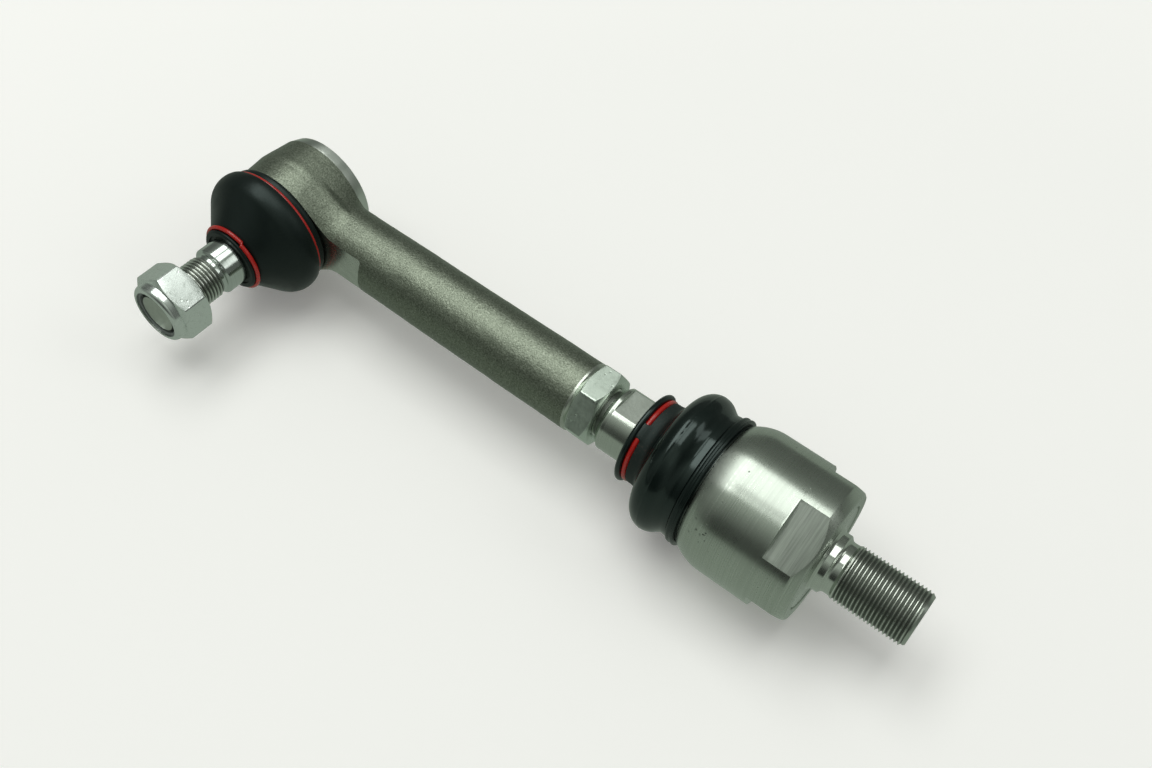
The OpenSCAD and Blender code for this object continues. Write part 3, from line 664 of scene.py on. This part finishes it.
bm = bmesh.new()
ring = rounded([(76.15, 9.08, 0.2), (76.15, 11.25, 0.2), (72.65, 11.25, 0.2), (72.65, 9.08, 0.2)],
               True, 3)
skin(bm, ring, on_stud, even(96), loop=True)
insert = finish_mesh(bm, "nut_locking_ring", 40)
dress(insert, insert_plastic, "nut_insert", "nut_insert")

ang, hex_r = hexagon(28.0, math.radians(28.5))
bm = bmesh.new()
low = crown(hex_r, -105.1, 13.7, -1.5, 2.65)
high = crown(hex_r, -95.3, 13.5, 1.7, 2.65)
rows = [(-104.1, 10.05), (-105.1, 11.05), (-105.1, 12.5)] + low
rows += [(-102.0, hex_r), (-98.0, hex_r)] + high[::-1]
rows += [(-95.3, 12.5), (-95.3, 11.05), (-96.3, 10.05)]
skin(bm, rows, on_rod, ang, loop=True)
lock = finish_mesh(bm, "lock_nut_plated", 24)
dress(lock, lock_zinc, "lock_nut", "lock_nut")


# Forged rod with its head: the forging is a distance field, then its machined faces are cut

def forging(p):
    """Distance of points, in millimetres, from the skin of the forging."""
    x, y, z = p[:, 0], p[:, 1], p[:, 2]
    # Round rod, a little thicker toward the nut
    rod = np.hypot(y, z) - np.interp(x, [-226.5, -105.15], [14.05, 14.6])
    rod = np.maximum(np.maximum(rod, x + 100.0), -REACH - x)
    # Line of the forging dies along it, fading out toward the nut
    seam = np.arctan2(-y, z) - math.radians(15)
    fade = np.clip((x + 238) / 8, 0, 1) * np.clip((-185 - x) / 30, 0, 1)
    rod = rod - 0.20 * fade * np.exp(-(seam * 14.3 / 0.5) ** 2)
    # Head, which narrows toward both ends and has the same line round it
    k = -y
    side = np.hypot(x + REACH, z) - (24.9 - 1.15 * np.clip(np.abs(k) / 12.5, 0, 1.4))
    side = side - 0.16 * np.exp(-((k - 3.6) / 0.5) ** 2) * np.clip((x + 262) / 6, 0, 1)
    head = np.maximum(side, np.maximum(k - 14.5, -20.5 - k))
    # Fillet between the two, wider on the stud's side
    ball = 3.2 + 4.8 / (1 + np.exp(-(k + 3.0) / 0.5))
    u, v = np.maximum(ball - rod, 0), np.maximum(ball - head, 0)
    return np.maximum(ball, np.minimum(rod, head)) - np.hypot(u, v)


def lathe(name, rows, place, n=128, loop=False):
    bm = bmesh.new()
    skin(bm, rows, place, even(n), loop)
    return finish_mesh(bm, name)


def apply(piece, kind, **settings):
    """Applies one modifier to a piece's mesh."""
    modifier = piece.modifiers.new("step", kind)
    for key, value in settings.items():
        setattr(modifier, key, value)
    shown = bpy.context.evaluated_depsgraph_get()
    mesh = bpy.data.meshes.new_from_object(piece.evaluated_get(shown))
    piece.modifiers.clear()
    old = piece.data
    piece.data = mesh
    bpy.data.meshes.remove(old)


VOXEL = 0.75
# Half the distance over which the field's slope is taken
PROBE = 0.05
# The uneven skin lies this far under the field's surface on average
SKIN_SINK = 0.08

bm = bmesh.new()
skin(bm, [(-REACH, 0), (-REACH, 14.0), (-235.0, 14.0), (-224.0, 14.0), (-100.0, 14.6),
          (-100.0, 0)], on_rod, even(96))
skin(bm, [(-20.5, 0), (-20.5, 24.2), (14.5, 24.2), (14.5, 0)], on_stud, even(128))
rod = finish_mesh(bm, "tie_rod_forging")
apply(rod, "REMESH", mode="VOXEL", voxel_size=VOXEL * MM)
count = len(rod.data.vertices)
points = np.zeros(count * 3)
rod.data.vertices.foreach_get("co", points)
points = points.reshape(-1, 3) / MM
steps = np.eye(3) * PROBE
for _ in range(8):
    d = forging(points)
    slope = np.stack([forging(points + h) - forging(points - h) for h in steps], -1) / (2 * PROBE)
    points = points - (d / np.maximum((slope ** 2).sum(-1), 0.25))[:, None] * slope
rough = np.array([0.16 * noise.noise(Vector(p) * 0.07) + 0.07 * noise.noise(Vector(p) * 0.35)
                  for p in points])
outward = slope / np.linalg.norm(slope, axis=1, keepdims=True)
points = points + outward * (rough - SKIN_SINK)[:, None]
rod.data.vertices.foreach_set("co", (points * MM).ravel())
rod.data.update()

cuts = [
    lathe("cut_end", [(-177.2, 0), (-171.15, 10.05), (-106.15, 10.05), (-105.15, 11.05),
                      (-105.15, 13.55), (-106.7, 15.1), (-106.6, 30), (-90, 30), (-90, 0)], on_rod),
    lathe("cut_face", [(11.1, 0), (11.1, 44.9), (11.6, 45.5), (60.0, 45.9), (60.0, 0)], on_stud,
          256),
    lathe("cut_back", [(35, 0), (35, 23.6), (9.1, 13.16), (9.1, 18), (-15.7, 18), (-15.7, 16.6),
                       (-17.05, 16.6), (-17.3, 16.85), (-17.3, 22.0), (-17.1, 22.3),
                       (-12.5, 23.75), (-12.3, 29.5), (-30, 29.5), (-30, 0)], on_stud, 192),
]
for cutter in cuts:
    apply(rod, "BOOLEAN", operation="DIFFERENCE", object=cutter, solver="MANIFOLD")
    bpy.data.objects.remove(cutter)
bm = bmesh.new()
bm.from_mesh(rod.data)
collar = rounded([(9.2, 13.3), (9.2, 20.5), (11.5, 20.5), (11.5, 20.5), (15.4, 20.5),
                  (15.4, 21.5), (16.2, 21.5, 0.1), (17.0, 20.7, 0.1), (17.0, 16.4)], True, 3)
skin(bm, collar, on_stud, even(160), loop=True)
bm.to_mesh(rod.data)
bm.free()
rod.data.materials.clear()
rod.data.shade_smooth()
rod.data.set_sharp_from_angle(angle=math.radians(30))
dress(rod, [forged_steel, faced_steel, rim_steel], "rod", "tie_rod_body")
middles = np.zeros(len(rod.data.polygons) * 3)
rod.data.polygons.foreach_get("center", middles)
middles = middles.reshape(-1, 3) / MM
# Skin this far from the forging's surface was cut. Behind RIM_Y the head has its turned rim, and
# past FACED_X the rod has its faced end
CUT_DEPTH, RIM_Y, HEAD_X, FACED_X = 0.35, 12.42, -229, -106.72
machined = np.abs(forging(middles)) > CUT_DEPTH
for face, cut in zip(rod.data.polygons, machined):
    turned_rim = face.center.y > RIM_Y * MM and face.center.x < HEAD_X * MM
    face.material_index = 2 if turned_rim else int(cut or face.center.x > FACED_X * MM)

# Cap, seats and springs stay as built, with a better finish
for name, material in (("closing_cap", cap_zinc), ("inner_front_seat", seat_plastic),
                       ("inner_rear_seat", seat_plastic), ("outer_front_seat", seat_plastic),
                       ("outer_rear_seat", seat_plastic), ("inner_disc_spring", housing_steel),
                       ("outer_disc_spring", housing_steel)):
    for material_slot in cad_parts[name].material_slots:
        material_slot.material = material


# Boot of the stud

def outer_boot():
    out = [(11.7, 20.6), (15.2, 20.6), (15.25, 21.9), (17.6, 22.0)]
    out += [(18.6, 21.5)] + arc(19.3, 18.8, 6.2, 20, 45, 4)
    out += [(33.6, 12.6), (36.0, 10.4), (36.4, 9.76), (38.4, 9.76), (38.45, 11.1), (39.15, 11.3)]
    lip = [(39.15, 11.3), (39.2, 12.8, 0.5), (38.6, 13.4, 0.4), (38.15, 13.4)]
    out += rounded(lip, steps=4)[1:]
    out += [(37.95, 13.3), (37.8, 13.05), (37.0, 12.8), (36.2, 13.2), (35.9, 13.9)]
    out += [(34.9, 14.85)] + arc(19.3, 18.8, 8.6, 45, 110, 22)
    out += [(16.15, 26.6), (16.0, 26.1), (15.6, 24.2), (14.5, 24.7), (13.6, 25.1), (12.6, 25.15),
            (11.9, 24.9), (11.65, 24.4)]
    ang = even(288)
    rows = []
    for s, r in out:
        wave = np.zeros(len(ang))
        if r > 14 and s > 16.2:
            wave = np.array([noise.noise((math.cos(a) * 1.5, math.sin(a) * 1.5, s * 0.1 + 7))
                             for a in ang])
            wave = 0.16 * wave - 0.14
        rows.append((s, r + wave))
    bm = bmesh.new()
    skin(bm, rows, on_stud, ang, loop=True)
    return finish_mesh(bm, "stud_boot_rubber", 40)


boot = outer_boot()
dress(boot, boot_rubber, None, "outer_boot")
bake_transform(boot)

# Ball stud
bm = bmesh.new()
rows = [(-13.5, 0.0)] + arc(1.5, 0.0, 15.0, 176, 36, 36)
rows += [(16.0, 8.8), (23.0, 8.8), (29.0, 9.7), (39.0, 9.7)]
rows += rounded([(39.1, 9.9), (39.4, 10.0, 0.1), (47.1, 10.0, 0.4), (47.9, 9.1, 0.5),
                 (48.2, 8.25, 0.5), (49.6, 8.25, 0.4), (50.4, 8.5), (50.4, 0)])
skin(bm, rows, on_stud, even(192))
thread(bm, on_stud, 49.8, 75.99, 9.0)
stud = finish_mesh(bm, "ball_stud_turned", 24)
dress(stud, [polished_stud, stud_thread_steel, faced_steel], "ball_stud",
      "ball_stud")
# The thread, and the end face past it
for face in stud.data.polygons:
    k = -face.center.y / MM
    if k > 49.75:
        face.material_index = 1 if k < 75.9 else 2


# Studio: pale floor, soft light and the camera

def sheet(name, size, height, material):
    """A level square of the stage."""
    mesh = bpy.data.meshes.new(name)
    h = size / 2
    mesh.from_pydata([(-h, -h, 0), (h, -h, 0), (h, h, 0), (-h, h, 0)], [], [(0, 1, 2, 3)])
    card = bpy.data.objects.new(name, mesh)
    card.location = (0, 0, height)
    mesh.materials.append(material)
    bpy.context.scene.collection.objects.link(card)
    return card


CENTRE = Vector((-0.13, -0.01, 0.0))
FLOOR_SIZE, FLOOR_Z = 12.0, -0.0295

floor_paint = Paint("floor_paint")
floor_tone = floor_paint.mix(floor_paint.noise(3.0, 2, 0.5), (0.925, 0.915, 0.885),
                             (0.93, 0.92, 0.89))
floor_paint.set(Base_Color=floor_tone, Roughness=0.9)
floor_paint.shader.inputs["Specular IOR Level"].default_value = 0.0
floor_paint.shader.inputs["Emission Color"].default_value = (1.0, 0.98, 0.95, 1)
# A glow for camera rays alone, stronger far off, where the lamps don't reach
to_camera = floor_paint.tree.nodes.new("ShaderNodeLightPath").outputs["Is Camera Ray"]
far = floor_paint.math("MULTIPLY", floor_paint.vector_math("LENGTH", floor_paint.coords),
                       2 / FLOOR_SIZE)
lift = floor_paint.ramp(far, (0.05, 0.13), (0.25, 0.30), (0.50, 0.48), (0.85, 0.55))
floor_paint.set(Emission_Strength=floor_paint.math("MULTIPLY", to_camera, lift))
sheet("floor", FLOOR_SIZE, FLOOR_Z, floor_paint.material)

world = bpy.data.worlds.new("studio")
bpy.context.scene.world = world
world.use_nodes = True
tree = world.node_tree
tree.nodes.clear()


def background(colour, strength):
    node = tree.nodes.new("ShaderNodeBackground")
    node.inputs["Color"].default_value = colour + (1,)
    node.inputs["Strength"].default_value = strength
    return node.outputs["Background"]


def greater(a, b):
    node = tree.nodes.new("ShaderNodeMath")
    node.operation = "MAXIMUM"
    tree.links.new(a, node.inputs[0])
    tree.links.new(b, node.inputs[1])
    return node.outputs["Value"]


# Pale for camera, glossy and transmission rays, plain light for the rest
path = tree.nodes.new("ShaderNodeLightPath").outputs
through = greater(path["Is Glossy Ray"], path["Is Transmission Ray"])
pick = tree.nodes.new("ShaderNodeMixShader")
tree.links.new(greater(path["Is Camera Ray"], through), pick.inputs["Fac"])
tree.links.new(background((0.97, 1.0, 0.98), 0.37), pick.inputs[1])
tree.links.new(background((0.92, 0.905, 0.872), 1.0), pick.inputs[2])
out = tree.nodes.new("ShaderNodeOutputWorld")
tree.links.new(pick.outputs["Shader"], out.inputs["Surface"])


LAMP_DISTANCE = 3.0


def softbox(name, heading, size, glow):
    """Rectangular lamp in that heading, its long edges level. A glow of 1 is white."""
    z = Vector(heading).normalized()
    x = (Vector((1, 0, 0)) - z * z.x).normalized()
    y = z.cross(x)
    data = bpy.data.lights.new(name, "AREA")
    data.shape = "RECTANGLE"
    data.size, data.size_y = size
    data.energy = glow * math.pi * size[0] * size[1]
    data.color = (0.97, 1.0, 0.975)
    lamp = bpy.data.objects.new(name, data)
    lamp.matrix_world = Matrix([(x[i], y[i], z[i], CENTRE[i] + z[i] * LAMP_DISTANCE)
                                for i in range(3)] + [(0, 0, 0, 1)])
    bpy.context.scene.collection.objects.link(lamp)


softbox("lamp_middle", (0.06, 0.11, 0.98), (1.1, 2.2), 2.0)
softbox("lamp_left", (-0.42, 0.0, 0.908), (1.25, 3.1), 2.7)
softbox("lamp_right", (0.62, 0.42, 0.66), (1.5, 0.9), 1.2)


def only_in_reflections(card):
    card.visible_camera = card.visible_diffuse = False
    card.visible_shadow = card.visible_transmission = False


def emit(paint, colour, strength):
    """Makes a paint a plain glow."""
    light = paint.tree.nodes.new("ShaderNodeEmission")
    light.inputs["Color"].default_value = colour + (1,)
    paint.link(strength, light.inputs["Strength"])
    paint.link(light.outputs["Emission"], paint.tree.nodes["Material Output"].inputs["Surface"])


# A dim room and a grey cloth that only glossy rays see. They stand in front of the pale world and
# floor, so metal shows them and not that background
ROOM_R = 5.9
CLOTH_SIZE, CLOTH_Z = 11.0, -0.0294

room_paint = Paint("room_walls")
ahead = room_paint.math("MULTIPLY", room_paint.axis("Y"), 1 / (2 * ROOM_R))
ahead = room_paint.math("ADD", ahead, 0.5)
aside = room_paint.math("MULTIPLY", room_paint.axis("X"), 1 / ROOM_R)
aside = room_paint.math("ABSOLUTE", aside)
glow = room_paint.ramp(ahead, (0.0, 0.03), (0.035, 0.07), (0.10, 0.22), (0.20, 0.46),
                       (0.29, 0.48), (0.36, 0.30), (0.42, 0.26), (0.50, 0.36), (0.74, 0.36),
                       (0.80, 0.24), (0.90, 0.17), (1.0, 0.13))
fade = room_paint.ramp(aside, (0.45, 1.0), (0.85, 0.35))
mottle = room_paint.ramp(room_paint.noise(0.6, 2), (0.3, 0.85), (0.7, 1.15))
glow = room_paint.math("MULTIPLY", room_paint.math("MULTIPLY", glow, fade), mottle)
emit(room_paint, (0.90, 1.0, 0.89), glow)
bm = bmesh.new()
bmesh.ops.create_icosphere(bm, subdivisions=5, radius=ROOM_R)
room = finish_mesh(bm, "room", 180)
room.location = CENTRE
room.data.materials.append(room_paint.material)
only_in_reflections(room)

cloth_paint = Paint("grey_cloth")
cloth_glow = cloth_paint.ramp(cloth_paint.noise(5.0, 3), (0.3, 0.28), (0.7, 0.36))
nearer = cloth_paint.ramp(cloth_paint.math("ADD", cloth_paint.axis("Y"), 1.0), (0.3, 0.3),
                          (0.75, 1.0))
emit(cloth_paint, (0.86, 1.0, 0.85), cloth_paint.math("MULTIPLY", cloth_glow, nearer))
cloth = sheet("cloth", CLOTH_SIZE, CLOTH_Z, cloth_paint.material)
only_in_reflections(cloth)

# The photograph's camera, fitted to it: the directions of its axes and its place
camera = bpy.data.objects.new("camera", bpy.data.cameras.new("camera"))
right, up = (0.78991, 0.60798, 0.07787), (-0.52649, 0.60768, 0.59482)
back, place = (0.31459, -0.51090, 0.80011), (0.0402, -0.2455, 0.38881)
camera.matrix_world = Matrix(list(zip(right, up, back, place)) + [(0, 0, 0, 1)])
camera.data.sensor_width = 36.0
camera.data.lens = 40.147
camera.data.clip_start = 0.01
bpy.context.scene.collection.objects.link(camera)
bpy.context.scene.camera = camera

bpy.context.scene.view_settings.view_transform = "Standard"
